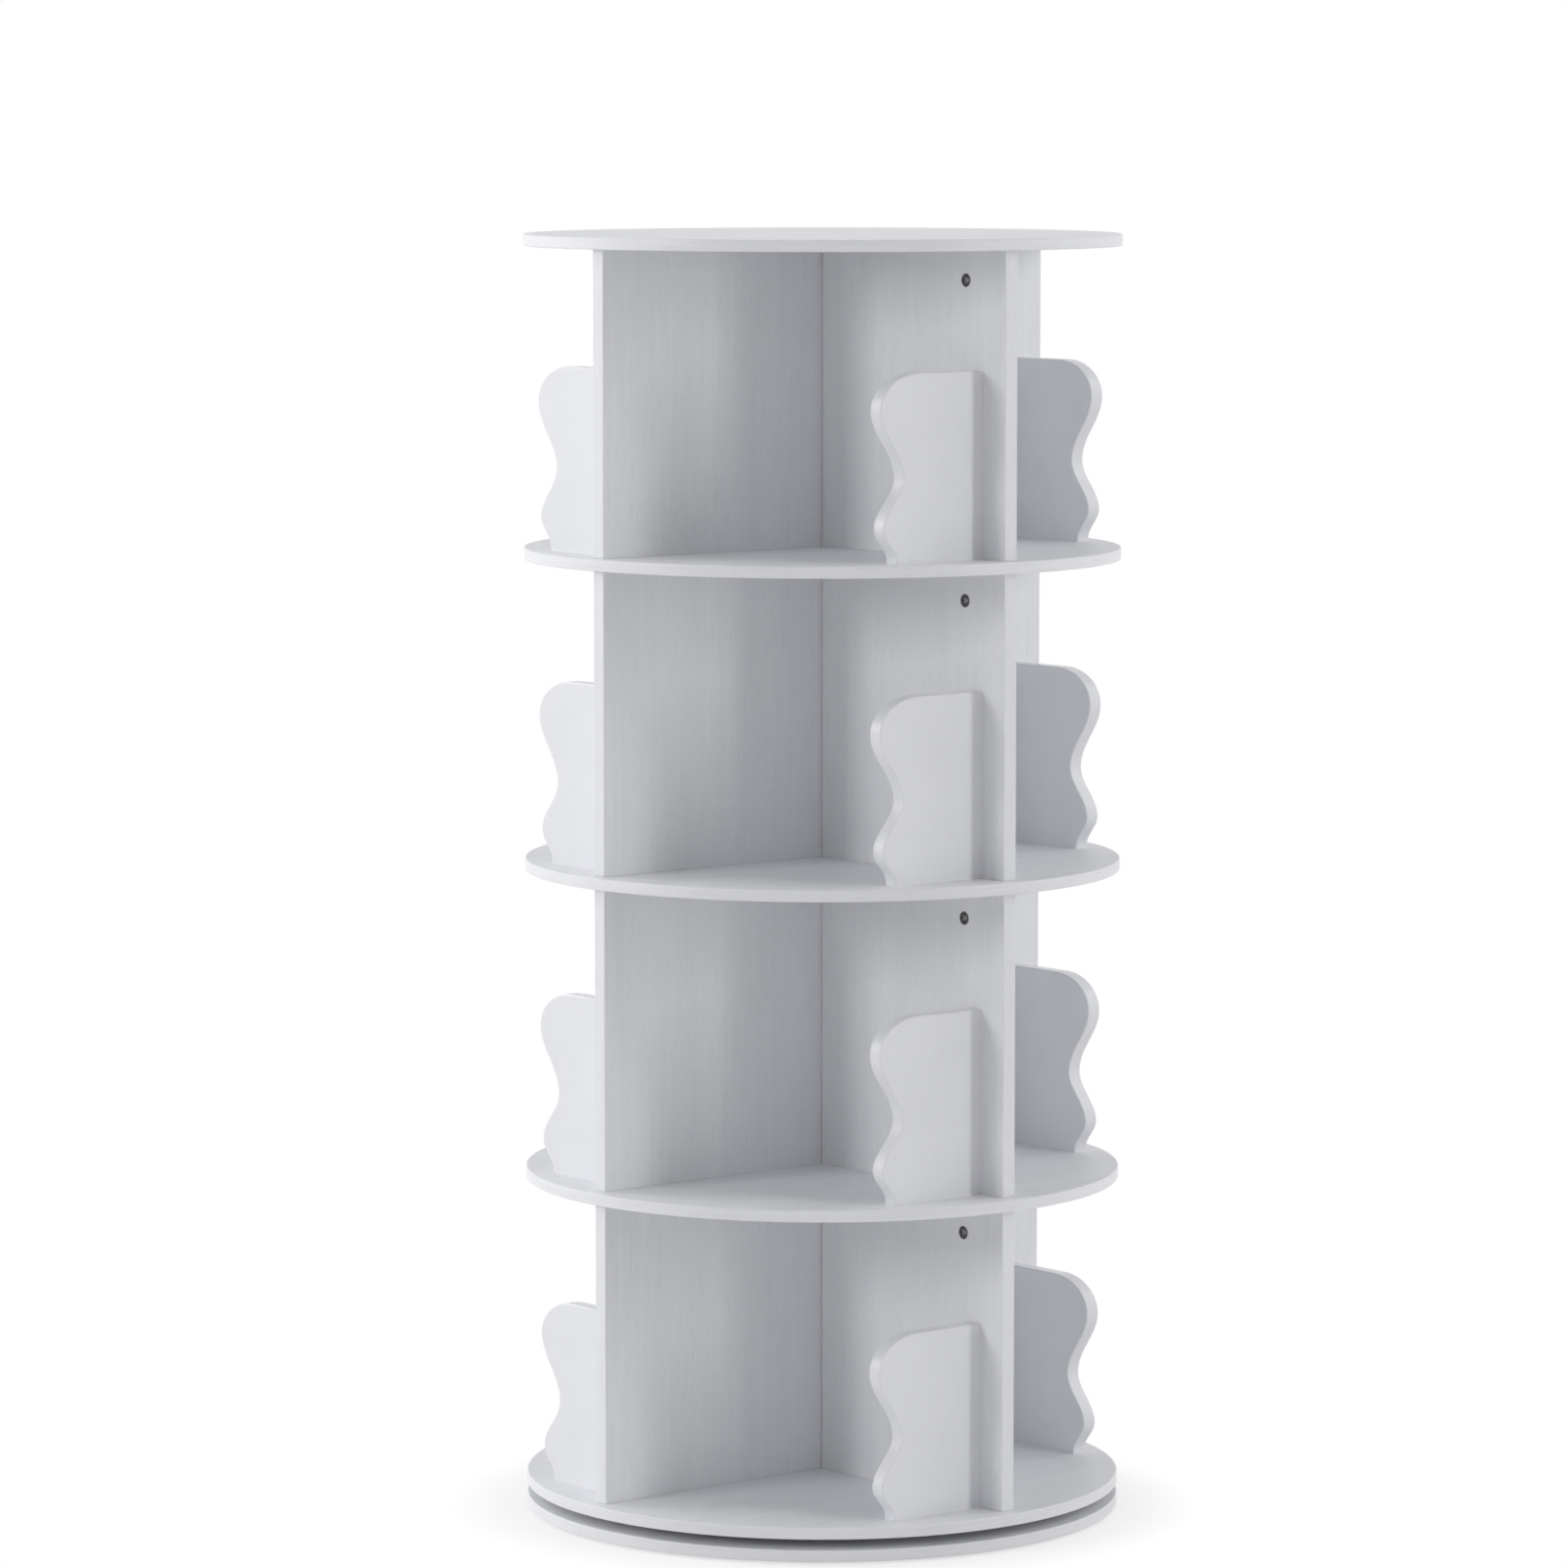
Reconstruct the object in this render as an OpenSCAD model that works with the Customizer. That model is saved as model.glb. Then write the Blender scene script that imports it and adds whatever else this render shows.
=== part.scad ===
// Four-tier revolving bookcase: a round carousel of shelves, crossed dividers and wavy book
// fences, on a ball-bearing turntable that is screwed to a fixed round base.
// The spin axis is Z, the floor is at z = 0 and the dividers lie along X and Y.

/* [Discs] */
// Diameter of the four shelves and of the top
disc_d = 460; // [450:1:560]
// Diameter of the fixed base disc
base_d = 460; // [400:1:560]
// Thickness of each shelf
shelf_t = 9; // [9:0.5:18]
// Thickness of the top
top_t = 9; // [9:0.5:18]
// Thickness of the base disc
base_t = 9; // [9:0.5:18]
// Radius of the eased rim edges
rim_ease = 1; // [0.4:0.1:2]

/* [Tiers] */
// Clear height of each tier, which is the height of its dividers
tier_h = 231; // [200:1:360]
// Thickness of the divider boards
divider_t = 12; // [12:0.5:18]
// Distance from the discs' rim in to the outer end of each divider
divider_inset = 11; // [6:1:20]

/* [Book fences] */
// Thickness of a fence board
fence_t = 12; // [10:0.5:16]
// Distance from the divider's end in to the fence's outer face
fence_inset = 25; // [16:1:40]
// Height of a fence
fence_h = 141; // [130:1:180]
// Width of the fence at its foot, from the divider's face
fence_foot_w = 85; // [75:1:95]
// Width of the fence at its lower bulge
low_bulge_w = 97.5; // [80:0.5:110]
// Width of the fence at its waist
waist_w = 77.8; // [70:0.1:90]
// Width of the fence at its upper bulge
high_bulge_w = 100.5; // [80:0.5:115]
// Height of the straight edge at the foot
fence_foot_h = 2; // [0.5:0.5:6]
// Height of the lower bulge
low_bulge_z = 26; // [20:1:32]
// Height of the waist
waist_z = 63.3; // [50:0.1:75]
// Height of the upper bulge
high_bulge_z = 113.5; // [95:0.5:120]
// Width of the flat part of the top edge, from the divider's face
flat_top_w = 62; // [40:1:72]

/* [Turntable] */
// Height of the turntable, which is the gap between base and lowest shelf
turntable_h = 8; // [8:0.1:10]
// Side of each square plate
plate_w = 150; // [140:1:160]
// Corner radius of each plate
plate_corner_r = 10; // [4:1:16]
// Sheet thickness of each plate
plate_t = 1.5; // [1:0.1:1.5]
// Spacing of the screw holes of each plate
plate_hole_pitch = 130; // [118:1:132]
// Outer radius of the lower plate's centre collar
collar_r = 36; // [30:0.5:37]
// Sheet thickness of the collar and its rolled lip
collar_t = 1.2; // [0.8:0.1:1.2]
// Overhang of the rolled lip beyond the collar
lip_w = 4; // [2:0.1:4.5]
// Room between the rolled lip and the board above it
lip_room = 0.4; // [0.2:0.1:0.6]
// Radius of the ball track
ball_track_r = 50; // [49.5:0.5:54]
// Number of bearing balls
ball_count = 24; // [12:1:30]
// Width of the ball cage ring
cage_w = 11; // [9:0.5:12]
// Thickness of the ball cage ring
cage_t = 1.2; // [0.8:0.1:1.6]
// Height of the beads that edge the ball track
bead_h = 1; // [0.5:0.1:1.2]
// Width of the beads that edge the ball track
bead_w = 1; // [0.6:0.1:1.4]

/* [Plate screws] */
// Shank diameter of the plate screws
plate_screw_d = 3.5; // [3:0.1:4]
// Length of the plate screws under the head
plate_screw_l = 8; // [5:0.5:8]
// Head diameter of the plate screws
plate_screw_head_d = 7; // [6:0.1:8]
// Head height of the plate screws
plate_screw_head_h = 1.8; // [1.2:0.1:2]
// Diameter of the hole in the base through which the upper screws are driven
access_d = 18; // [12:1:20]

/* [Shelf screws] */
// Shank diameter of the countersunk shelf screws
screw_d = 4; // [3:0.1:4.5]
// Overall length of the shelf screws
screw_l = 35; // [25:1:40]
// Head diameter of the shelf screws
screw_head_d = 8; // [6:0.1:9]
// Head depth of the shelf screws
screw_head_h = 2.6; // [1.8:0.1:4]
// Radius from the spin axis of the inner divider screw
inner_screw_r = 50; // [40:1:60]
// Radius from the spin axis of the outer divider screw
outer_screw_r = 140; // [110:1:150]
// Distance from the divider's face to the nearer fence screw
near_fence_screw = 30; // [24:1:36]
// Distance from the divider's face to the further fence screw
far_fence_screw = 65; // [50:1:70]
// Width of the cross recess in a screw head
recess_w = 0.9; // [0.6:0.1:1.2]
// Depth of the cross recess in a screw head
recess_h = 1; // [0.5:0.1:1.5]

/* [Cam fittings] */
// Diameter of a cam lock
cam_d = 10; // [9:0.1:12]
// Thickness of divider left behind a cam's hole
cam_back = 1.7; // [1.2:0.1:2.5]
// Depth of the cam's face below the divider's face
cam_recess = 0.6; // [0.2:0.1:0.8]
// Thickness of the cam's face
cam_face_t = 2; // [1.6:0.1:2]
// Thickness of the cam's side wall
cam_wall = 1.4; // [1:0.1:1.6]
// Distance from the divider's end to the cam's centre
cam_inset = 45; // [40:1:60]
// Distance from the board above to the cam's centre
cam_drop = 23; // [18:1:30]
// Diameter of the cam bolt's thread
bolt_d = 5; // [4:0.1:6]
// Length of the cam bolt's thread, in the board above
bolt_thread_l = 7; // [5:0.5:7]
// Diameter of the cam bolt's collar
bolt_collar_d = 7; // [6.4:0.1:8]
// Height of the cam bolt's collar
bolt_collar_h = 2; // [1:0.1:4]
// Diameter of the cam bolt's neck
bolt_neck_d = 3.6; // [2.8:0.1:4]
// Diameter of the cam bolt's round head
bolt_head_d = 5.4; // [4.6:0.1:5.6]

/* [Dowels] */
// Diameter of a dowel
dowel_d = 6; // [5:0.1:8]
// Length of a dowel
dowel_l = 25; // [20:1:30]
// Length of dowel that sits in the face of a board
dowel_in_face = 8; // [6:0.5:9]
// Chamfer at the ends of a dowel
dowel_chamfer = 0.6; // [0.3:0.1:1]
// Height of the lower fence dowel above the shelf
low_fence_dowel = 45; // [40:1:60]
// Height of the upper fence dowel above the shelf
high_fence_dowel = 105; // [80:1:110]
// Height of the lower dowel between dividers, on the right
low_divider_dowel = 60; // [50:1:70]
// Height of the upper dowel between dividers, on the right
high_divider_dowel = 170; // [140:1:180]
// Height by which the dowels on the left are set above those on the right
dowel_stagger = 15; // [10:1:20]

/* [Feet] */
// Number of foot pads
pad_count = 8; // [4:1:12]
// Diameter of a foot pad
pad_d = 20; // [12:1:30]
// Thickness of a foot pad
pad_t = 2; // [1:0.5:6]
// Distance from the base's rim to the centre of a foot pad
pad_inset = 20; // [16:1:40]

/* [Clearances] */
// Gap round fasteners and dowels in their holes
hole_gap = 0.1; // [0.05:0.05:0.2]
// Gap past the end of fasteners and dowels in blind holes
end_gap = 0.5; // [0.2:0.1:0.8]
// Running gap of the turntable's plates, balls and cage
run_gap = 0.2; // [0.1:0.05:0.25]

/* [Hidden] */
tiers = 4;
bays = 4;
quarter = 360 / bays;
rounding = 96;
small_rounding = 32;
ease_steps = 4;
wave_steps = 16;
bulge_steps = 14;
eps = 0.01;

board_white = [0.90, 0.91, 0.93];
fence_white = [0.93, 0.94, 0.96];
steel = [0.72, 0.73, 0.75];
zinc = [0.50, 0.50, 0.52];
beech = [0.80, 0.66, 0.46];
pad_grey = [0.35, 0.35, 0.36];
cage_dark = [0.18, 0.18, 0.20];

base_z = pad_t;
turntable_z = base_z + base_t;
carousel_z = turntable_z + turntable_h;

// Underside of a tier's shelf, where the tier after the last one gives the top
function shelf_z(tier) = carousel_z + (tier - 1) * (shelf_t + tier_h);
// Upper face of a tier's shelf, on which its dividers and fences stand
function floor_z(tier) = shelf_z(tier) + shelf_t;
// Underside of the board above a tier
function ceiling_z(tier) = floor_z(tier) + tier_h;

divider_face = divider_t / 2;
divider_reach = disc_d / 2 - divider_inset;
fence_outer = divider_reach - fence_inset;
fence_middle = fence_outer - fence_t / 2;
cam_reach = divider_reach - cam_inset;
cam_bottom = divider_t - cam_back - end_gap;
cam_t = cam_bottom - cam_recess;
cam_cavity_d = cam_d - 2 * cam_wall;

plate_top = turntable_z + plate_t;
plate_bottom = carousel_z - plate_t;
ball_z = turntable_z + turntable_h / 2;
ball_d = turntable_h - 2 * plate_t - 2 * run_gap;
ball_hole_d = ball_d + 2 * run_gap;
lip_top = carousel_z - lip_room;
lip_bottom = lip_top - collar_t;
lip_r = collar_r + lip_w;
rim_top = lip_bottom - run_gap;
rim_bottom = rim_top - plate_t;
rim_wall_r = lip_r + run_gap;
rim_hole_r = collar_r + run_gap;
bead_offset = ball_d / 2 + run_gap + bead_w / 2;
access_r = plate_hole_pitch / sqrt(2);

// Half section of a disc whose rim edges are eased by arcs
function disc_profile(r, t) = concat(
    [[0, 0]],
    [for (i = [0 : ease_steps]) let (a = 90 * i / ease_steps)
        [r - rim_ease + rim_ease * sin(a), rim_ease - rim_ease * cos(a)]],
    [for (i = [0 : ease_steps]) let (a = 90 * i / ease_steps)
        [r - rim_ease + rim_ease * cos(a), t - rim_ease + rim_ease * sin(a)]],
    [[0, t]]
);

// Half wave from p to q, upright at both ends
function half_wave(p, q) = [
    for (i = [0 : wave_steps - 1]) let (s = i / wave_steps)
        [p.x + (q.x - p.x) * (1 - cos(180 * s)) / 2, p.y + (q.y - p.y) * s]
];

// Quarter of an ellipse from the upper bulge up to the flat top edge
function top_curve() = [
    for (i = [0 : bulge_steps]) let (a = 90 * i / bulge_steps)
        [flat_top_w + (high_bulge_w - flat_top_w) * cos(a),
         high_bulge_z + (fence_h - high_bulge_z) * sin(a)]
];

// Outline of a fence, as width from the divider's face and height above the shelf
function fence_outline() = concat(
    [[0, 0], [fence_foot_w, 0]],
    half_wave([fence_foot_w, fence_foot_h], [low_bulge_w, low_bulge_z]),
    half_wave([low_bulge_w, low_bulge_z], [waist_w, waist_z]),
    half_wave([waist_w, waist_z], [high_bulge_w, high_bulge_z]),
    top_curve(),
    [[0, fence_h]]
);

// Repeats its children at every bay, turned about the spin axis
module each_bay() {
    for (bay = [1 : bays])
        rotate(quarter * (bay - 1))
            children();
}

// Stands its children at the four screw places of a turntable plate
module each_plate_hole() {
    for (x = [-1, 1], y = [-1, 1])
        translate([x, y] * plate_hole_pitch / 2)
            children();
}

// Stands its children at the screw places of one bay
module each_bay_screw() {
    for (r = [inner_screw_r, outer_screw_r])
        translate([r, 0])
            children();
    for (w = [near_fence_screw, far_fence_screw])
        translate([fence_middle, -divider_face - w])
            children();
}

// Points its children's Z out of the fence side of a divider, from its middle plane
module fence_side() {
    rotate([90, 0, 0])
        children();
}

module disc(d, t) {
    rotate_extrude($fn = rounding)
        polygon(disc_profile(d / 2, t));
}

// Countersunk screw with its head's face at z = 0, or the hole for one
module shelf_screw(gap = 0) {
    head_r = screw_head_d / 2 + gap;
    shank_r = screw_d / 2 + gap;
    rotate_extrude($fn = small_rounding)
        polygon([[0, 0], [head_r, 0], [shank_r, screw_head_h],
                 [shank_r, screw_l + gap], [0, screw_l + gap]]);
}

// Cross recess that is cut into a screw head or cam face, from z = 0 up
module cross_recess(length) {
    for (turn = [0, 90])
        rotate(turn)
            translate([-length / 2, -recess_w / 2, -eps])
                cube([length, recess_w, recess_h + eps]);
}

// Pan-head screw with the underside of its head at z = 0 and its shank below
module plate_screw() {
    difference() {
        union() {
            translate([0, 0, -plate_screw_l])
                cylinder(d = plate_screw_d, h = plate_screw_l + eps, $fn = small_rounding);
            cylinder(d = plate_screw_head_d, h = plate_screw_head_h, $fn = small_rounding);
        }
        translate([0, 0, plate_screw_head_h])
            mirror([0, 0, 1])
                cross_recess(plate_screw_head_d / 2);
    }
}

// Blind hole for a plate screw, below z = 0
module plate_screw_hole() {
    depth = plate_screw_l - plate_t + end_gap;
    translate([0, 0, -depth])
        cylinder(d = plate_screw_d + 2 * hole_gap, h = depth + eps, $fn = small_rounding);
}

// Dowel along +Z, with z = 0 where the two boards meet
module dowel() {
    r = dowel_d / 2;
    tip_r = r - dowel_chamfer;
    low = -dowel_in_face;
    high = dowel_l - dowel_in_face;
    rotate_extrude($fn = small_rounding)
        polygon([[0, low], [tip_r, low], [r, low + dowel_chamfer],
                 [r, high - dowel_chamfer], [tip_r, high], [0, high]]);
}

// Hole for a dowel, through both boards
module dowel_hole() {
    translate([0, 0, -dowel_in_face - end_gap])
        cylinder(d = dowel_d + 2 * hole_gap, h = dowel_l + 2 * end_gap, $fn = small_rounding);
}

// Stands its children at the fence dowels of one bay, with Z out of the divider's face
module each_fence_dowel(tier) {
    for (h = [low_fence_dowel, high_fence_dowel])
        translate([fence_middle, -divider_face, floor_z(tier) + h])
            fence_side()
                children();
}

// Stands its children at the dowels of one short divider, with Z into its inner end
module each_divider_dowel(tier, side) {
    stagger = side > 0 ? 0 : dowel_stagger;
    for (h = [low_divider_dowel, high_divider_dowel])
        translate([side * divider_face, 0, floor_z(tier) + h + stagger])
            rotate([0, side * 90, 0])
                children();
}

// Stands its children at the cam of one bay, with Z out of the divider's face
module at_cam(tier) {
    translate([cam_reach, -divider_face, ceiling_z(tier) - cam_drop])
        fence_side()
            children();
}

// Cup-shaped cam lock with its face just below z = 0, its cross recess and its slot for the bolt
module cam_lock() {
    difference() {
        translate([0, 0, -cam_bottom])
            cylinder(d = cam_d, h = cam_t, $fn = small_rounding);
        translate([0, 0, -cam_bottom - eps])
            cylinder(d = cam_cavity_d, h = cam_t - cam_face_t + eps, $fn = small_rounding);
        translate([-bolt_neck_d / 2 - run_gap, 0, -cam_bottom - eps])
            cube([bolt_neck_d + 2 * run_gap, cam_d, cam_t - cam_face_t + eps]);
        translate([0, 0, -cam_recess])
            mirror([0, 0, 1])
                cross_recess(cam_cavity_d);
    }
}

// Cam bolt with z = 0 at the underside of the board above and its thread upwards
module cam_bolt() {
    thread_r = bolt_d / 2;
    bolt_collar_r = bolt_collar_d / 2;
    neck_r = bolt_neck_d / 2;
    rotate_extrude($fn = small_rounding)
        polygon([[0, -cam_drop], [neck_r, -cam_drop],
                 [neck_r, -bolt_collar_h], [bolt_collar_r, -bolt_collar_h], [bolt_collar_r, 0],
                 [thread_r, 0], [thread_r, bolt_thread_l], [0, bolt_thread_l]]);
    translate([0, 0, -cam_drop])
        sphere(d = bolt_head_d, $fn = small_rounding);
}

// Holes of one bay in a divider: cam, cam bolt, fence dowels and shelf screws
module divider_holes(tier) {
    at_cam(tier)
        translate([0, 0, -cam_bottom - end_gap])
            cylinder(d = cam_d + 2 * hole_gap, h = cam_bottom + end_gap + eps, $fn = small_rounding);
    translate([cam_reach, 0, ceiling_z(tier) - cam_drop])
        cylinder(d = bolt_collar_d + 2 * hole_gap, h = cam_drop + eps, $fn = small_rounding);
    each_fence_dowel(tier)
        dowel_hole();
    translate([0, 0, shelf_z(tier)])
        each_bay_screw()
            shelf_screw(hole_gap);
}

// Blind holes for the cam bolts of the tier below a board
module bolt_holes(tier) {
    each_bay()
        translate([cam_reach, 0, ceiling_z(tier) - eps])
            cylinder(d = bolt_d + 2 * hole_gap, h = bolt_thread_l + end_gap + eps, $fn = small_rounding);
}

// Ring that edges the ball track, from z = 0 up
module track_beads() {
    for (side = [-1, 1])
        rotate_extrude($fn = rounding)
            translate([ball_track_r + side * bead_offset - bead_w / 2, 0])
                square([bead_w, bead_h + eps]);
}

// Square sheet with rounded corners and four screw holes, from z = 0 up
module plate_sheet() {
    half = plate_w / 2 - plate_corner_r;
    difference() {
        linear_extrude(plate_t)
            union() {
                square([plate_w, 2 * half], center = true);
                square([2 * half, plate_w], center = true);
                for (x = [-1, 1], y = [-1, 1])
                    translate([x, y] * half)
                        circle(plate_corner_r, $fn = small_rounding);
            }
        each_plate_hole()
            translate([0, 0, -eps])
                cylinder(d = plate_screw_d + 2 * hole_gap, h = plate_t + 2 * eps, $fn = small_rounding);
    }
}

module base_disc() {
    color(board_white)
        difference() {
            translate([0, 0, base_z])
                disc(base_d, base_t);
            translate([0, 0, turntable_z])
                each_plate_hole()
                    plate_screw_hole();
            translate([access_r, 0, base_z - eps])
                cylinder(d = access_d, h = base_t + 2 * eps, $fn = small_rounding);
        }
}

module foot_pads() {
    color(pad_grey)
        for (i = [0 : pad_count - 1])
            rotate(360 * i / pad_count)
                translate([base_d / 2 - pad_inset, 0])
                    cylinder(d = pad_d, h = pad_t, $fn = small_rounding);
}

module turntable_lower_plate() {
    inner = collar_r - collar_t;
    color(steel) {
        difference() {
            translate([0, 0, turntable_z])
                plate_sheet();
            translate([0, 0, turntable_z - eps])
                cylinder(r = inner, h = plate_t + 2 * eps, $fn = rounding);
        }
        rotate_extrude($fn = rounding)
            polygon([[inner, turntable_z], [collar_r, turntable_z], [collar_r, lip_bottom],
                     [lip_r, lip_bottom], [lip_r, lip_top], [inner, lip_top]]);
        translate([0, 0, plate_top - eps])
            track_beads();
    }
}

module turntable_upper_plate() {
    wall_outer = rim_wall_r + plate_t;
    color(steel) {
        difference() {
            translate([0, 0, plate_bottom])
                plate_sheet();
            translate([0, 0, plate_bottom - eps])
                cylinder(r = rim_wall_r, h = plate_t + 2 * eps, $fn = rounding);
        }
        rotate_extrude($fn = rounding)
            polygon([[rim_hole_r, rim_bottom], [wall_outer, rim_bottom], [wall_outer, carousel_z],
                     [rim_wall_r, carousel_z], [rim_wall_r, rim_top], [rim_hole_r, rim_top]]);
        translate([0, 0, plate_bottom + eps])
            mirror([0, 0, 1])
                track_beads();
    }
}

module lower_plate_screws() {
    color(zinc)
        translate([0, 0, plate_top])
            each_plate_hole()
                plate_screw();
}

module upper_plate_screws() {
    color(zinc)
        translate([0, 0, plate_bottom])
            each_plate_hole()
                mirror([0, 0, 1])
                    plate_screw();
}

module ball_cage() {
    color(cage_dark)
        difference() {
            rotate_extrude($fn = rounding)
                translate([ball_track_r - cage_w / 2, ball_z - cage_t / 2])
                    square([cage_w, cage_t]);
            for (i = [0 : ball_count - 1])
                rotate(360 * i / ball_count)
                    translate([ball_track_r, 0, ball_z - cage_t / 2 - eps])
                        cylinder(d = ball_hole_d, h = cage_t + 2 * eps, $fn = small_rounding);
        }
}

module bearing_balls() {
    color(steel)
        for (i = [0 : ball_count - 1])
            rotate(360 * i / ball_count)
                translate([ball_track_r, 0, ball_z])
                    sphere(d = ball_d, $fn = small_rounding);
}

module shelf(tier) {
    color(board_white)
        difference() {
            translate([0, 0, shelf_z(tier)])
                disc(disc_d, shelf_t);
            translate([0, 0, shelf_z(tier)])
                each_bay()
                    each_bay_screw()
                        shelf_screw(hole_gap);
            if (tier > 1)
                bolt_holes(tier - 1);
            else
                translate([0, 0, carousel_z])
                    each_plate_hole()
                        mirror([0, 0, 1])
                            plate_screw_hole();
        }
}

module top_disc() {
    color(board_white)
        difference() {
            translate([0, 0, ceiling_z(tiers)])
                disc(disc_d, top_t);
            bolt_holes(tiers);
        }
}

module long_divider(tier) {
    color(board_white)
        difference() {
            translate([-divider_face, -divider_reach, floor_z(tier)])
                cube([divider_t, 2 * divider_reach, tier_h]);
            for (turn = [quarter, -quarter])
                rotate(turn)
                    divider_holes(tier);
            for (side = [-1, 1])
                each_divider_dowel(tier, side)
                    dowel_hole();
        }
}

// Half-width divider on the +X side, or on the -X side where side is -1
module short_divider(tier, side) {
    color(board_white)
        difference() {
            rotate(side > 0 ? 0 : 2 * quarter)
                difference() {
                    translate([divider_face, -divider_face, floor_z(tier)])
                        cube([divider_reach - divider_face, divider_t, tier_h]);
                    divider_holes(tier);
                }
            each_divider_dowel(tier, side)
                dowel_hole();
        }
}

module fence(tier, bay) {
    color(fence_white)
        rotate(quarter * (bay - 1))
            difference() {
                translate([fence_outer, -divider_face, floor_z(tier)])
                    rotate([90, 0, -90])
                        linear_extrude(fence_t)
                            polygon(fence_outline());
                each_fence_dowel(tier)
                    dowel_hole();
                translate([0, 0, shelf_z(tier)])
                    each_bay_screw()
                        shelf_screw(hole_gap);
            }
}

module cam_locks(tier) {
    color(zinc)
        each_bay()
            at_cam(tier)
                cam_lock();
}

module cam_bolts(tier) {
    color(steel)
        each_bay()
            translate([cam_reach, 0, ceiling_z(tier)])
                cam_bolt();
}

module dowels(tier) {
    color(beech) {
        each_bay()
            each_fence_dowel(tier)
                dowel();
        for (side = [-1, 1])
            each_divider_dowel(tier, side)
                dowel();
    }
}

module shelf_screws(tier) {
    color(zinc)
        translate([0, 0, shelf_z(tier)])
            each_bay()
                each_bay_screw()
                    difference() {
                        shelf_screw();
                        cross_recess(screw_head_d / 2);
                    }
}

base_disc();
foot_pads();
turntable_lower_plate();
lower_plate_screws();
ball_cage();
bearing_balls();
turntable_upper_plate();
upper_plate_screws();
top_disc();
for (tier = [1 : tiers]) {
    shelf(tier);
    long_divider(tier);
    short_divider(tier, 1);
    short_divider(tier, -1);
    for (bay = [1 : bays])
        fence(tier, bay);
    cam_locks(tier);
    cam_bolts(tier);
    dowels(tier);
    shelf_screws(tier);
}
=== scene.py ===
import math

import bmesh
import bpy
from mathutils import Matrix, Vector


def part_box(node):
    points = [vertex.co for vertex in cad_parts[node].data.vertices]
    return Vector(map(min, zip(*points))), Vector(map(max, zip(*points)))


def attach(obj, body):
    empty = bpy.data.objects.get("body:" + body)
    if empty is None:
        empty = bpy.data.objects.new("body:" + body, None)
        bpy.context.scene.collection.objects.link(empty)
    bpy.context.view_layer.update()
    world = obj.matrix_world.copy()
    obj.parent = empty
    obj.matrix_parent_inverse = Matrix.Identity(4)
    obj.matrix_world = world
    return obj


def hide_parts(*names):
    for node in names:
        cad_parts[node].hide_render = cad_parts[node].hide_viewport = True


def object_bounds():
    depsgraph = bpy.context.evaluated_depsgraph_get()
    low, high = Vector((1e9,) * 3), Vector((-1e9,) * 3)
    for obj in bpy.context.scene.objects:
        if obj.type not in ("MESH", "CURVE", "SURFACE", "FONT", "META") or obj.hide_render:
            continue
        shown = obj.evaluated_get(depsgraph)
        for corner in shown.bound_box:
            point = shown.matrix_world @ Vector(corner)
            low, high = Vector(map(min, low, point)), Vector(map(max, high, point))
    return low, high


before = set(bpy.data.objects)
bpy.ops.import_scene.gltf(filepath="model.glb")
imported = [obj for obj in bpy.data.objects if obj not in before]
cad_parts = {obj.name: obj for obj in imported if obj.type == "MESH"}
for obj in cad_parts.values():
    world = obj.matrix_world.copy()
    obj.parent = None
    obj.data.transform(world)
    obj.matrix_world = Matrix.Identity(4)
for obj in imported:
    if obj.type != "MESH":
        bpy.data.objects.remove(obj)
cad_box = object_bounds()

# Names of the visible boards
TIERS = range(1, 5)
BAYS = range(1, 5)
DISCS = ["base_disc", "top_disc"] + [f"shelf_{tier}" for tier in TIERS]
LONG_DIVIDERS = [f"long_divider_{tier}" for tier in TIERS]
SHORT_DIVIDERS = [f"short_divider_{tier}_{side}" for tier in TIERS for side in ("right", "left")]
FENCES = [f"fence_{tier}_{bay}" for tier in TIERS for bay in BAYS]

# Eased edges, in metres, and the steps that round each of them
FENCE_EASE = 0.0010
DIVIDER_EASE = 0.0006
BUTT_EASE = 0.0018
SEAT_EASE = 0.0003
WIDEST_EASE = max(FENCE_EASE, DIVIDER_EASE, BUTT_EASE, SEAT_EASE)
EASE_STEPS = 3

# Distance of the lines cut beside a drilled board's edges, which is more than the widest ease
EDGE_LINE = 0.002

# Ease of the discs' rims, which their CAD solids have
RIM_EASE = 0.001

# Mesh tolerances: distances in metres, angles in radians, and the least part of a normal along an axis
WELD = 1e-6
PLANE_GAP = 1e-5
FLAT_ANGLE = math.radians(0.4)
SHARP_ANGLE = math.radians(42)
SQUARE = 0.999

# Side of its box on which a board stands: the low side along Z, as (axis, side)
FOOT = (2, -1)

# Material slots of a replaced board
FACE_SLOT = 0
HOLE_SLOT = 1

# Lengths of wood grain, along and across it, in metres
BAND_GRAIN = (0.36, 0.016)
STREAK_GRAIN = (0.10, 0.0018)
PORE_GRAIN = (0.014, 0.0007)
BEECH_GRAIN = (0.02, 0.0008)

# Ranges of a noise's values over which tone and gloss change
MIDDLE = (0.3, 0.7)
NARROW_MIDDLE = (0.35, 0.65)
WIDE_MIDDLE = (0.2, 0.8)
BOARD_MIDDLE = (0.34, 0.66)
PEAKS = (0.60, 0.72)

# Shares: bands in a board's tone, tint and depth in its pores, tint in beech flecks, cells in metal's tone
BAND_SHARE = 0.45
PORE_TINT = 0.45
PORE_DEPTH = 0.7
FLECK_TINT = 0.4
CELL_SHARE = 0.5

# Where a cam's painted highlight in its middle fades out and where it is brightest, as shares of the cam's
# width
HIGHLIGHT_FADE_EDGE = 0.28
HIGHLIGHT_BRIGHTEST = 0.08

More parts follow.
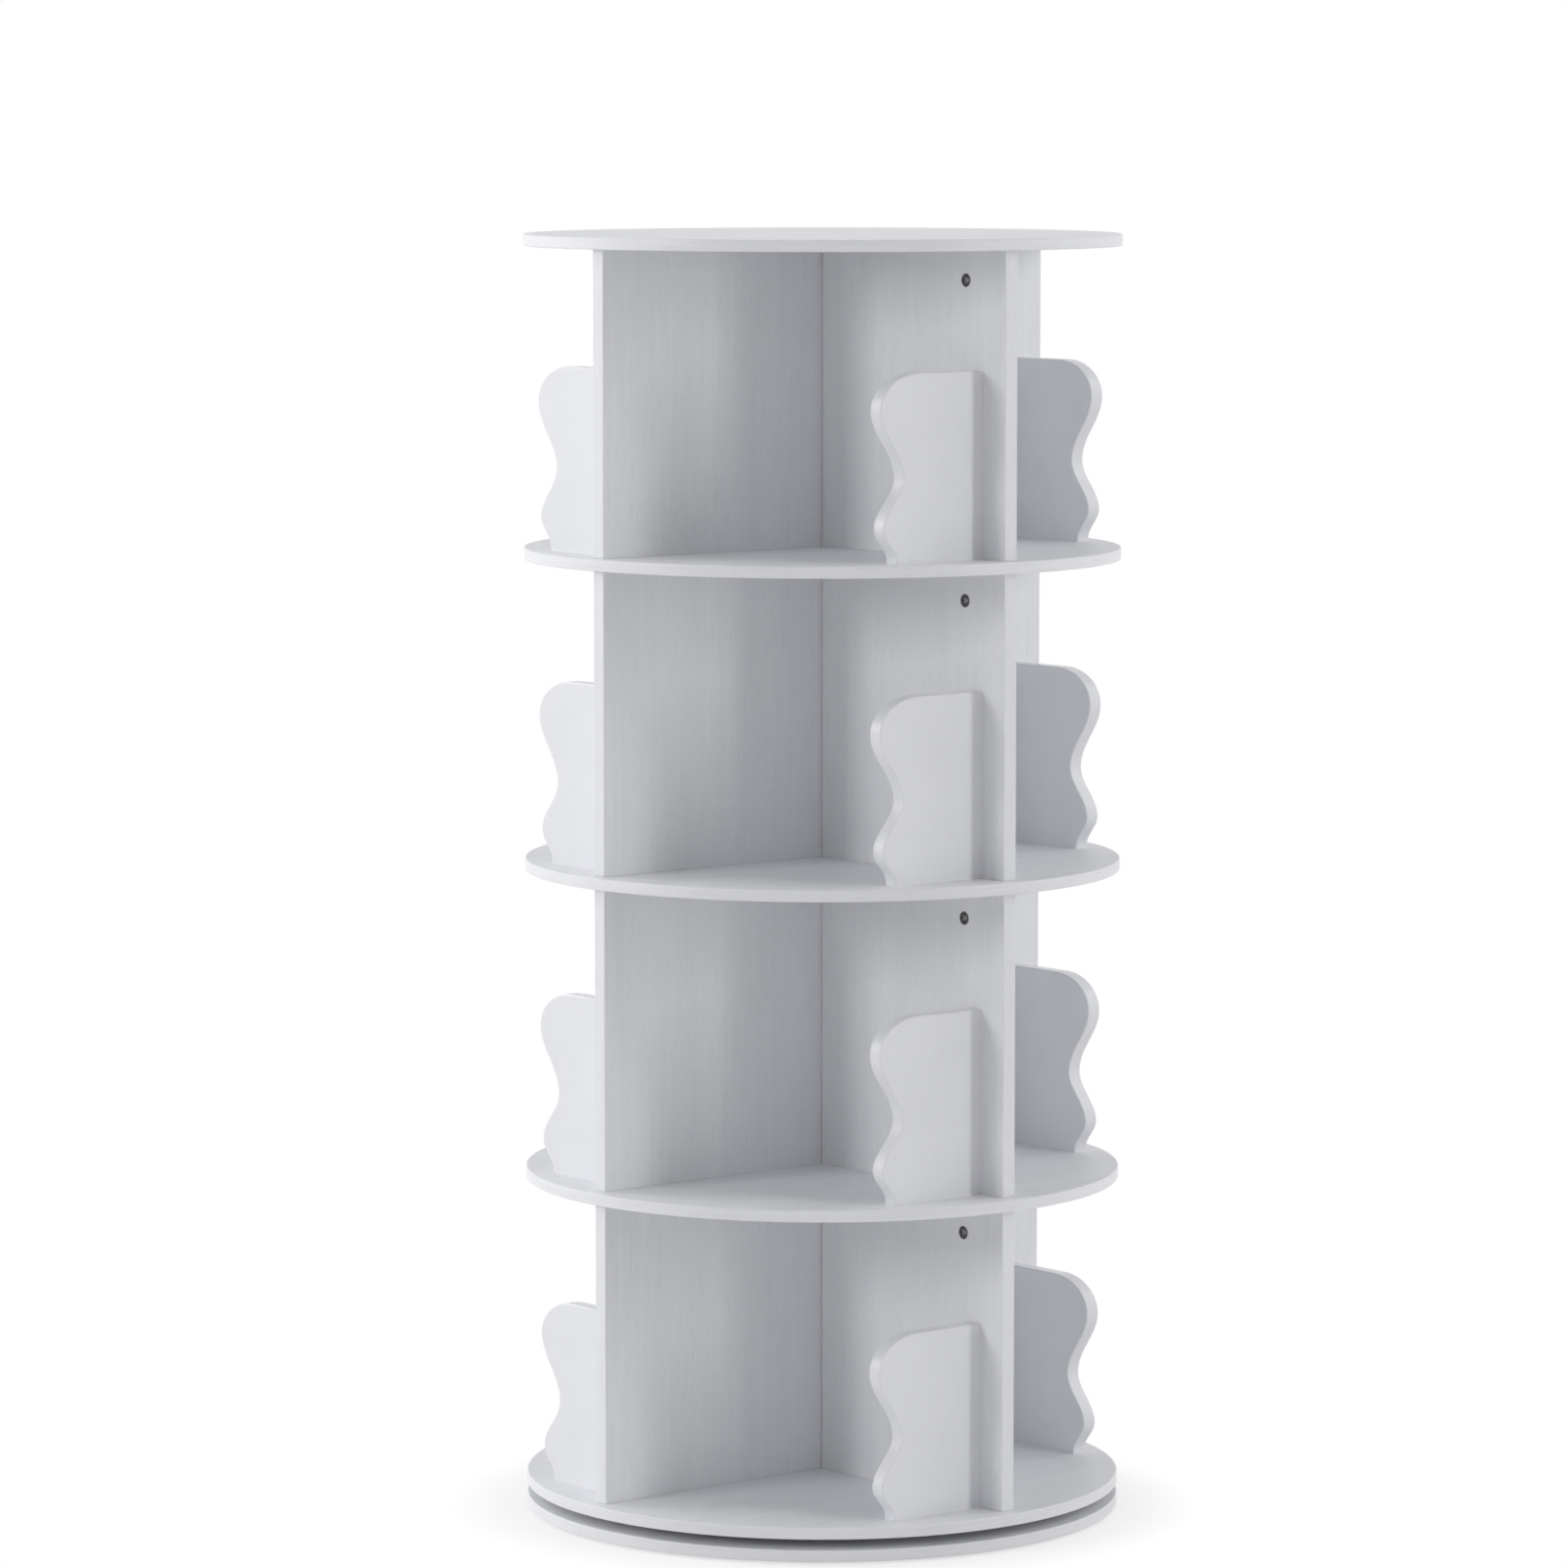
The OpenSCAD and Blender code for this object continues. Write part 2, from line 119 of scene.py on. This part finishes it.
# Colours, linear
BOARD_LIGHT = (0.860, 0.867, 0.893)
BOARD_DARK = (0.805, 0.812, 0.840)
PORE = (0.71, 0.72, 0.75)
LACQUER_LIGHT = (0.855, 0.862, 0.893)
LACQUER_DARK = (0.832, 0.839, 0.870)
CHIP_LIGHT = (0.46, 0.34, 0.21)
CHIP_DARK = (0.24, 0.16, 0.09)
# Cam: a painted highlight for its bright middle, and zinc painted dark as the shade in its hole
CAM_PAINTED_HIGHLIGHT = (0.48, 0.48, 0.49)
CAM_SHADED_ZINC_LIGHT = (0.15, 0.15, 0.155)
CAM_SHADED_ZINC_DARK = (0.09, 0.09, 0.094)
STEEL_LIGHT = (0.66, 0.67, 0.69)
STEEL_DARK = (0.50, 0.51, 0.53)
BALL_LIGHT = (0.74, 0.74, 0.75)
BALL_DARK = (0.66, 0.66, 0.67)
CAGE_LIGHT = (0.050, 0.050, 0.054)
CAGE_DARK = (0.028, 0.028, 0.031)
BEECH_LIGHT = (0.62, 0.43, 0.25)
BEECH_DARK = (0.45, 0.29, 0.15)
PAD_LIGHT = (0.13, 0.13, 0.135)
PAD_DARK = (0.06, 0.06, 0.064)
FLOOR = (0.93, 0.93, 0.93)
WHITE = (1.0, 1.0, 1.0)

# Camera, with the place it aims at measured from the spin axis and the floor
CAMERA_AZIMUTH = math.radians(50.1)
CAMERA_DISTANCE = 5.1616
CAMERA_HEIGHT = 1.0948
AIM_LEFT = 0.02965
AIM_HEIGHT = 0.5635
LENS_MM = 154.05
SENSOR_MM = 36

# Light: the sky's strength, the strength that shows as white, and the softboxes' distance
SKY = 0.36
WHITE_STRENGTH = 1.0
LIGHT_DISTANCE = 6.0

# Floor, which turns from pale to plain white between two distances from the spin axis
FLOOR_RADIUS = 4.0
FLOOR_SIDES = 96
FLOOR_WHITENING = (0.10, 0.29)
FLOOR_ROUGHNESS = 0.9

# Socket numbers of a Mix node for each kind of value: first input, second input, result
MIX_SOCKETS = {"RGBA": (6, 7, 2), "VECTOR": (4, 5, 1)}


class Nodes:
    """A node tree, with short ways to add nodes and links."""

    def __init__(self, tree):
        self.tree = tree

    def feed(self, socket, value):
        """Links a socket to another one's output, or sets its value."""
        if isinstance(value, bpy.types.NodeSocket):
            self.tree.links.new(value, socket)
        elif socket.type == "RGBA":
            socket.default_value = (*value, 1)
        else:
            socket.default_value = value

    def node(self, kind, *values, output=0, **settings):
        """Adds a node, feeds its inputs in their order and returns one of its outputs."""
        node = self.tree.nodes.new("ShaderNode" + kind)
        for name, value in settings.items():
            setattr(node, name, value)
        for socket, value in zip(node.inputs, values):
            self.feed(socket, value)
        return node.outputs[output]

    def math(self, operation, *values):
        return self.node("Math", *values, operation=operation)

    def length(self, vector):
        return self.node("VectorMath", vector, output="Value", operation="LENGTH")

    def parts(self, vector):
        """X, Y and Z of a vector."""
        node = self.tree.nodes.new("ShaderNodeSeparateXYZ")
        self.feed(node.inputs["Vector"], vector)
        return node.outputs

    def stretch(self, vector, along, across):
        """Vector in units of a grain's length along its first part and of its width across it."""
        scale = (1 / along, 1 / across, 1 / across)
        return self.node("VectorMath", vector, scale, operation="MULTIPLY")

    def spread(self, value, between, to=(0.0, 1.0)):
        """Value moved from one range to another and kept inside it."""
        return self.node("MapRange", value, *between, *to)

    def weigh(self, first, share, second):
        """Sum of two values, of which the first has the given share and the second has the rest."""
        rest = self.math("MULTIPLY", second, 1 - share)
        return self.math("ADD", self.math("MULTIPLY", first, share), rest)

    def mix(self, kind, factor, first, second):
        """First value at a factor of 0, second at 1."""
        node = self.tree.nodes.new("ShaderNodeMix")
        node.data_type = kind
        first_socket, second_socket, result = MIX_SOCKETS[kind]
        self.feed(node.inputs["Factor"], factor)
        self.feed(node.inputs[first_socket], first)
        self.feed(node.inputs[second_socket], second)
        return node.outputs[result]


class Finish(Nodes):
    """A node material in the making, whose patterns lie in the object's own coordinates."""

    def __init__(self, name):
        self.material = bpy.data.materials.new(name)
        self.material.use_nodes = True
        super().__init__(self.material.node_tree)
        self.shader = self.tree.nodes["Principled BSDF"]

    def set(self, **values):
        """Feeds inputs of the shader, whose names are written with _ for a space."""
        for name, value in values.items():
            self.feed(self.shader.inputs[name.replace("_", " ")], value)

    def place(self):
        return self.tree.nodes.new("ShaderNodeTexCoord").outputs["Object"]

    def noise(self, vector, scale=1.0, detail=2.0, roughness=0.5):
        node = self.tree.nodes.new("ShaderNodeTexNoise")
        self.feed(node.inputs["Vector"], vector)
        self.feed(node.inputs["Scale"], scale)
        self.feed(node.inputs["Detail"], detail)
        self.feed(node.inputs["Roughness"], roughness)
        return node.outputs["Fac"]

    def cells(self, vector, scale):
        """One even value for each cell of a cell pattern."""
        node = self.tree.nodes.new("ShaderNodeTexVoronoi")
        self.feed(node.inputs["Vector"], vector)
        self.feed(node.inputs["Scale"], scale)
        return self.node("SeparateColor", node.outputs["Color"], output="Red")

    def blend(self, factor, first, second):
        return self.mix("RGBA", factor, first, second)

    def bump(self, height, depth, strength):
        node = self.tree.nodes.new("ShaderNodeBump")
        self.feed(node.inputs["Height"], height)
        self.feed(node.inputs["Distance"], depth)
        self.feed(node.inputs["Strength"], strength)
        self.feed(self.shader.inputs["Normal"], node.outputs["Normal"])


def upright_grain(finish):
    """Place with its first part along Z, for boards whose grain stands upright."""
    x, y, z = finish.parts(finish.place())
    return finish.node("CombineXYZ", z, x, y)


def disc_grain(finish, radius):
    """Place with its first part along Y on a disc's faces and round the disc on its rim."""
    x, y, z = finish.parts(finish.place())
    reach = finish.length(finish.node("CombineXYZ", x, y))
    way_round = finish.math("MULTIPLY", finish.math("ARCTAN2", y, x), radius)
    on_rim = finish.math("GREATER_THAN", reach, radius - RIM_EASE)
    face_place = finish.node("CombineXYZ", y, x, z)
    rim_place = finish.node("CombineXYZ", way_round, z, reach)
    return finish.mix("VECTOR", on_rim, face_place, rim_place)


def melamine(name, grain, *sizes):
    """White melamine with an embossed wood grain: soft bands, fine streaks and short pores."""
    finish = Finish(name)
    place = grain(finish, *sizes)
    bands = finish.noise(finish.stretch(place, *BAND_GRAIN))
    streaks = finish.noise(finish.stretch(place, *STREAK_GRAIN), detail=3.0, roughness=0.6)
    pores = finish.spread(finish.noise(finish.stretch(place, *PORE_GRAIN), detail=1.0), PEAKS)
    tone = finish.weigh(bands, BAND_SHARE, streaks)
    board = finish.blend(finish.spread(tone, BOARD_MIDDLE), BOARD_DARK, BOARD_LIGHT)
    finish.set(
        Base_Color=finish.blend(finish.math("MULTIPLY", pores, PORE_TINT), board, PORE),
        Roughness=finish.spread(streaks, MIDDLE, to=(0.52, 0.40)),
    )
    relief = finish.math("SUBTRACT", streaks, finish.math("MULTIPLY", pores, PORE_DEPTH))
    finish.bump(relief, depth=0.00012, strength=0.5)
    return finish.material


def lacquer(name):
    """Smooth satin white lacquer with a faint mottle and orange peel."""
    finish = Finish(name)
    place = finish.place()
    mottle = finish.noise(place, scale=28.0)
    peel = finish.noise(place, scale=520.0, detail=1.0)
    finish.set(
        Base_Color=finish.blend(finish.spread(mottle, MIDDLE), LACQUER_DARK, LACQUER_LIGHT),
        Roughness=finish.spread(mottle, MIDDLE, to=(0.36, 0.30)),
    )
    finish.bump(peel, depth=0.00006, strength=0.35)
    return finish.material


def chipboard(name):
    """Raw particle board, as it shows inside drilled holes."""
    finish = Finish(name)
    flakes = finish.cells(finish.place(), scale=900.0)
    finish.set(
        Base_Color=finish.blend(flakes, CHIP_DARK, CHIP_LIGHT),
        Roughness=finish.spread(flakes, (0.0, 1.0), to=(0.75, 0.95)),
    )
    finish.bump(flakes, depth=0.0002, strength=0.6)
    return finish.material


def metal(name, dark, light, roughness, spangle, scratch):
    """Metal whose tone and gloss vary over the cells of a plated skin and fine scratches."""
    finish = Finish(name)
    place = finish.place()
    skin = finish.cells(place, scale=spangle)
    marks = finish.noise(place, scale=scratch, detail=3.0)
    tone = finish.weigh(skin, CELL_SHARE, marks)
    finish.set(
        Base_Color=finish.blend(finish.spread(tone, WIDE_MIDDLE), dark, light),
        Metallic=1.0,
        Roughness=finish.spread(tone, WIDE_MIDDLE, to=roughness),
    )
    finish.bump(marks, depth=0.00005, strength=0.3)
    return finish.material


def cast_cam(name):
    """Dull cast zinc, painted dark so that each cam's rim shows as painted shade in its hole, with a
    painted highlight round its cross recess.
    """
    low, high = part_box("cam_locks_1")
    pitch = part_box("cam_locks_2")[0].z - low.z
    across = high.z - low.z
    finish = Finish(name)
    place = finish.place()
    x, y, z = finish.parts(place)
    outward = finish.math("MAXIMUM", finish.math("ABSOLUTE", x), finish.math("ABSOLUTE", y))
    sideways = finish.math("SUBTRACT", outward, high.x - across / 2)
    upward = finish.math("WRAP", finish.math("SUBTRACT", z, (low.z + high.z) / 2), pitch / 2, -pitch / 2)
    reach = finish.length(finish.node("CombineXYZ", sideways, upward))
    # Painted highlight: bright in each cam's middle, fading out towards its rim
    painted_highlight = finish.spread(reach, (across * HIGHLIGHT_FADE_EDGE, across * HIGHLIGHT_BRIGHTEST))
    marks = finish.noise(place, scale=2400.0, detail=3.0)
    # Painted shade: the cast zinc is dark all over, so that each cam's rim shows as shade in its hole
    cast = finish.blend(marks, CAM_SHADED_ZINC_DARK, CAM_SHADED_ZINC_LIGHT)
    finish.set(
        Base_Color=finish.blend(painted_highlight, cast, CAM_PAINTED_HIGHLIGHT),
        Metallic=1.0,
        Roughness=finish.spread(marks, MIDDLE, to=(0.45, 0.60)),
    )
    finish.bump(marks, depth=0.00005, strength=0.3)
    return finish.material


def plastic(name):
    """Dark moulded plastic with a fine sparked texture."""
    finish = Finish(name)
    grain = finish.noise(finish.place(), scale=1800.0)
    finish.set(
        Base_Color=finish.blend(grain, CAGE_DARK, CAGE_LIGHT),
        Roughness=finish.spread(grain, MIDDLE, to=(0.42, 0.58)),
    )
    finish.bump(grain, depth=0.00005, strength=0.5)
    return finish.material


def beech(name):
    """Beech with level grain lines and small flecks."""
    finish = Finish(name)
    place = finish.place()
    x, y, z = finish.parts(place)
    lines = finish.noise(finish.stretch(finish.node("CombineXYZ", x, z, y), *BEECH_GRAIN), detail=3.0)
    flecks = finish.spread(finish.noise(place, scale=900.0), PEAKS)
    wood = finish.blend(finish.spread(lines, MIDDLE), BEECH_DARK, BEECH_LIGHT)
    finish.set(
        Base_Color=finish.blend(finish.math("MULTIPLY", flecks, FLECK_TINT), wood, BEECH_DARK),
        Roughness=finish.spread(lines, MIDDLE, to=(0.72, 0.58)),
    )
    finish.bump(lines, depth=0.0001, strength=0.4)
    return finish.material


def foam(name):
    """Dark grey dense foam with fine open pores."""
    finish = Finish(name)
    pores = finish.noise(finish.place(), scale=1400.0, detail=4.0, roughness=0.7)
    finish.set(
        Base_Color=finish.blend(finish.spread(pores, NARROW_MIDDLE), PAD_DARK, PAD_LIGHT),
        Roughness=finish.spread(pores, MIDDLE, to=(0.9, 1.0)),
    )
    finish.bump(pores, depth=0.0004, strength=0.8)
    return finish.material


def dress_nodes(finishes):
    """Gives every CAD node the finish of its slot, and the discs a board finish of their own."""
    disc_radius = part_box("top_disc")[1].x
    disc_board = melamine("white_board_disc", disc_grain, disc_radius)
    for name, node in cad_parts.items():
        slot = node.material_slots[0]
        slot.material = disc_board if name in DISCS else finishes[slot.material.name]


def add_object(name, data):
    """New object in the scene that shows the given data."""
    thing = bpy.data.objects.new(name, data)
    bpy.context.scene.collection.objects.link(thing)
    return thing


def finished_mesh(name, work):
    """Mesh with what a work mesh holds, which is then freed."""
    mesh = bpy.data.meshes.new(name)
    work.to_mesh(mesh)
    work.free()
    return mesh


def side_of(face, low, high):
    """(axis, side) of the box face that a mesh face lies on, or None."""
    centre = face.calc_center_median()
    for axis in range(3):
        if abs(face.normal[axis]) > SQUARE:
            if abs(centre[axis] - low[axis]) < PLANE_GAP:
                return axis, -1
            if abs(centre[axis] - high[axis]) < PLANE_GAP:
                return axis, 1
    return None


def cut_edge_lines(work, low, high):
    """Cuts a line into a board's flat sides close to each of their edges, and returns the lines."""
    marks = [(axis, low[axis] + EDGE_LINE) for axis in range(3)]
    marks += [(axis, high[axis] - EDGE_LINE) for axis in range(3)]
    for axis, place in marks:
        across = Matrix.Identity(3)[axis]
        uncut = (None, (axis, -1), (axis, 1))
        faces = [face for face in work.faces if side_of(face, low, high) not in uncut]
        chosen = set(faces)
        edges = [edge for edge in work.edges if not chosen.isdisjoint(edge.link_faces)]
        bmesh.ops.bisect_plane(
            work, geom=edges + faces, dist=WELD, plane_co=across * place, plane_no=across,
        )
    return {
        edge for edge in work.edges for axis, place in marks
        if all(abs(vert.co[axis] - place) < PLANE_GAP for vert in edge.verts)
    }


def board_copy(node, drilled):
    """Mesh of a CAD node, welded and with its flat faces made whole, for a piece of its own.

    On a drilled board, lines part the faces round its holes from its edges, so that these round evenly.
    """
    work = bmesh.new()
    work.from_mesh(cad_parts[node].data)
    bmesh.ops.remove_doubles(work, verts=work.verts[:], dist=WELD)
    lines = cut_edge_lines(work, *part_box(node)) if drilled else set()
    spare = [edge for edge in work.edges if edge not in lines]
    bmesh.ops.dissolve_limit(work, angle_limit=FLAT_ANGLE, verts=work.verts[:], edges=spare)
    return work


def divider_ease(sides, ends, butts):
    """Ease of a divider's edge between two sides: its ends, butted end and seats. Its holes stay sharp."""
    if None in sides:
        return 0
    if sides & butts:
        return BUTT_EASE
    return DIVIDER_EASE if sides & ends else SEAT_EASE


def fence_ease(sides, faces, seats):
    """Ease of a fence's edge between two of its sides: rounded along its outline, square at its seats."""
    return FENCE_EASE if sides & faces and not sides & seats else 0


def eased_board(node, ease, drilled):
    """Piece that stands for a board: its edges rounded as ease says, and a drilled one's holes raw."""
    low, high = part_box(node)
    work = board_copy(node, drilled)
    weights = work.edges.layers.float.new("bevel_weight_edge")
    sides = {face: side_of(face, low, high) for face in work.faces}
    for edge in work.edges:
        if edge.calc_face_angle(0) > SHARP_ANGLE:
            edge[weights] = ease({sides[face] for face in edge.link_faces}) / WIDEST_EASE
    for face in work.faces:
        face.smooth = True
        face.material_index = HOLE_SLOT if drilled and sides[face] is None else FACE_SLOT
    mesh = finished_mesh(f"{node}_board", work)
    if "custom_normal" in mesh.attributes:
        mesh.attributes.remove(mesh.attributes["custom_normal"])
    mesh.set_sharp_from_angle(angle=SHARP_ANGLE)
    piece = add_object(f"{node}_board", mesh)
    bevel = piece.modifiers.new("eased_edges", "BEVEL")
    bevel.limit_method = "WEIGHT"
    bevel.width = WIDEST_EASE
    bevel.segments = EASE_STEPS
    bevel.use_clamp_overlap = False
    normals = piece.modifiers.new("flat_faces", "WEIGHTED_NORMAL")
    normals.keep_sharp = True
    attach(piece, "carousel")
    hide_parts(node)
    return piece


def make_dividers(board, hole):
    """Dividers with eased ends and seats, and wider eased edges where a short one butts on a long one."""
    for node in LONG_DIVIDERS + SHORT_DIVIDERS:
        low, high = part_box(node)
        length_axis = 0 if high.x - low.x > high.y - low.y else 1
        ends = {(length_axis, -1), (length_axis, 1)}
        butts = {(length_axis, 1 if low.x < 0 else -1)} if node in SHORT_DIVIDERS else set()
        piece = eased_board(node, lambda sides: divider_ease(sides, ends, butts), drilled=True)
        piece.data.materials.append(board)
        piece.data.materials.append(hole)


def make_fences(paint):
    """Fences with a rounded outline, left square at the foot and where they meet their divider."""
    for node in FENCES:
        low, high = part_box(node)
        thin_axis = 0 if high.x - low.x < high.y - low.y else 1
        wide_axis = 1 - thin_axis
        faces = {(thin_axis, -1), (thin_axis, 1)}
        joint_side = 1 if abs(high[wide_axis]) < abs(low[wide_axis]) else -1
        seats = {FOOT, (wide_axis, joint_side)}
        piece = eased_board(node, lambda sides: fence_ease(sides, faces, seats), drilled=False)
        piece.data.materials.append(paint)


def seen_directly(nodes):
    """1 on rays from the camera, also by way of gloss or glass, and 0 on those that gather soft light."""
    path = nodes.tree.nodes.new("ShaderNodeLightPath").outputs
    seen = nodes.math("MAXIMUM", path["Is Camera Ray"], path["Is Glossy Ray"])
    return nodes.math("MAXIMUM", seen, path["Is Transmission Ray"])


def make_floor():
    """Pale floor that keeps the shadow near the object and is plain white further out."""
    work = bmesh.new()
    bmesh.ops.create_circle(work, cap_ends=True, segments=FLOOR_SIDES, radius=FLOOR_RADIUS)
    floor = add_object("floor", finished_mesh("floor", work))
    finish = Finish("pale_floor")
    finish.set(Base_Color=FLOOR, Roughness=FLOOR_ROUGHNESS, Specular_IOR_Level=0.0)
    far = finish.spread(finish.length(finish.place()), FLOOR_WHITENING)
    factor = finish.math("MULTIPLY", far, seen_directly(finish))
    white = finish.node("Emission", WHITE, WHITE_STRENGTH)
    mixed = finish.node("MixShader", factor, finish.shader.outputs["BSDF"], white)
    finish.feed(finish.tree.nodes["Material Output"].inputs["Surface"], mixed)
    floor.data.materials.append(finish.material)


def make_sky():
    """Soft even light from all round, before a white background."""
    world = bpy.data.worlds.new("studio")
    world.use_nodes = True
    bpy.context.scene.world = world
    nodes = Nodes(world.node_tree)
    soft = nodes.node("Background", WHITE, SKY)
    white = nodes.node("Background", WHITE, WHITE_STRENGTH)
    mixed = nodes.node("MixShader", seen_directly(nodes), soft, white)
    nodes.feed(nodes.tree.nodes["World Output"].inputs["Surface"], mixed)


def heading(azimuth):
    """Level direction out from the spin axis, turned from -Y towards +X."""
    return Vector((math.sin(azimuth), -math.cos(azimuth), 0))


def softbox(name, turn_deg, elevation_deg, width, height, watts):
    """Soft light, turned that far to the right from the camera's side of the object."""
    light = bpy.data.lights.new(name, "AREA")
    light.shape = "RECTANGLE"
    light.size = width
    light.size_y = height
    light.energy = watts
    lamp = add_object(name, light)
    elevation = math.radians(elevation_deg)
    level = heading(CAMERA_AZIMUTH + math.radians(turn_deg)) * math.cos(elevation)
    way = level + Vector((0, 0, math.sin(elevation)))
    lamp.location = (cad_box[0] + cad_box[1]) / 2 + LIGHT_DISTANCE * way
    lamp.rotation_euler = way.to_track_quat("Z", "Y").to_euler()
    lamp.visible_camera = False


def make_camera():
    """Camera at the viewing angle that was fitted to the discs' rims and the dividers' ends."""
    lens = bpy.data.cameras.new("camera")
    lens.lens = LENS_MM
    lens.sensor_width = SENSOR_MM
    camera = add_object("camera", lens)
    left = heading(CAMERA_AZIMUTH - math.pi / 2)
    aim = left * AIM_LEFT + Vector((0, 0, AIM_HEIGHT))
    camera.location = heading(CAMERA_AZIMUTH) * CAMERA_DISTANCE + Vector((0, 0, CAMERA_HEIGHT))
    camera.rotation_euler = (aim - camera.location).to_track_quat("-Z", "Y").to_euler()
    bpy.context.scene.camera = camera


board_finish = melamine("white_board_upright", upright_grain)
lacquer_finish = lacquer("white_lacquer_satin")
dress_nodes({
    "white_board": board_finish,
    "white_lacquer": lacquer_finish,
    "plated_steel": metal(
        "plated_steel_sheet", STEEL_DARK, STEEL_LIGHT,
        roughness=(0.28, 0.46), spangle=260.0, scratch=900.0,
    ),
    "zinc_screw": metal(
        "zinc_plated_screw", STEEL_DARK, STEEL_LIGHT,
        roughness=(0.24, 0.40), spangle=1500.0, scratch=3000.0,
    ),
    "zinc_cam": cast_cam("cast_zinc"),
    "ball_steel": metal(
        "polished_steel", BALL_DARK, BALL_LIGHT,
        roughness=(0.08, 0.14), spangle=800.0, scratch=4000.0,
    ),
    "cage_plastic": plastic("dark_plastic"),
    "beech_dowel": beech("beech"),
    "foot_pad": foam("grey_foam"),
})
make_dividers(board_finish, chipboard("raw_board"))
make_fences(lacquer_finish)
make_floor()
make_sky()
softbox("left_key", turn_deg=-62, elevation_deg=14, width=1.1, height=1.4, watts=74)
softbox("left_fill", turn_deg=-110, elevation_deg=25, width=3.0, height=4.0, watts=152)
softbox("right_key", turn_deg=62, elevation_deg=18, width=0.8, height=4.0, watts=77)
softbox("right_fill", turn_deg=110, elevation_deg=25, width=3.0, height=4.0, watts=72)
make_camera()
bpy.context.scene.view_settings.view_transform = "Standard"
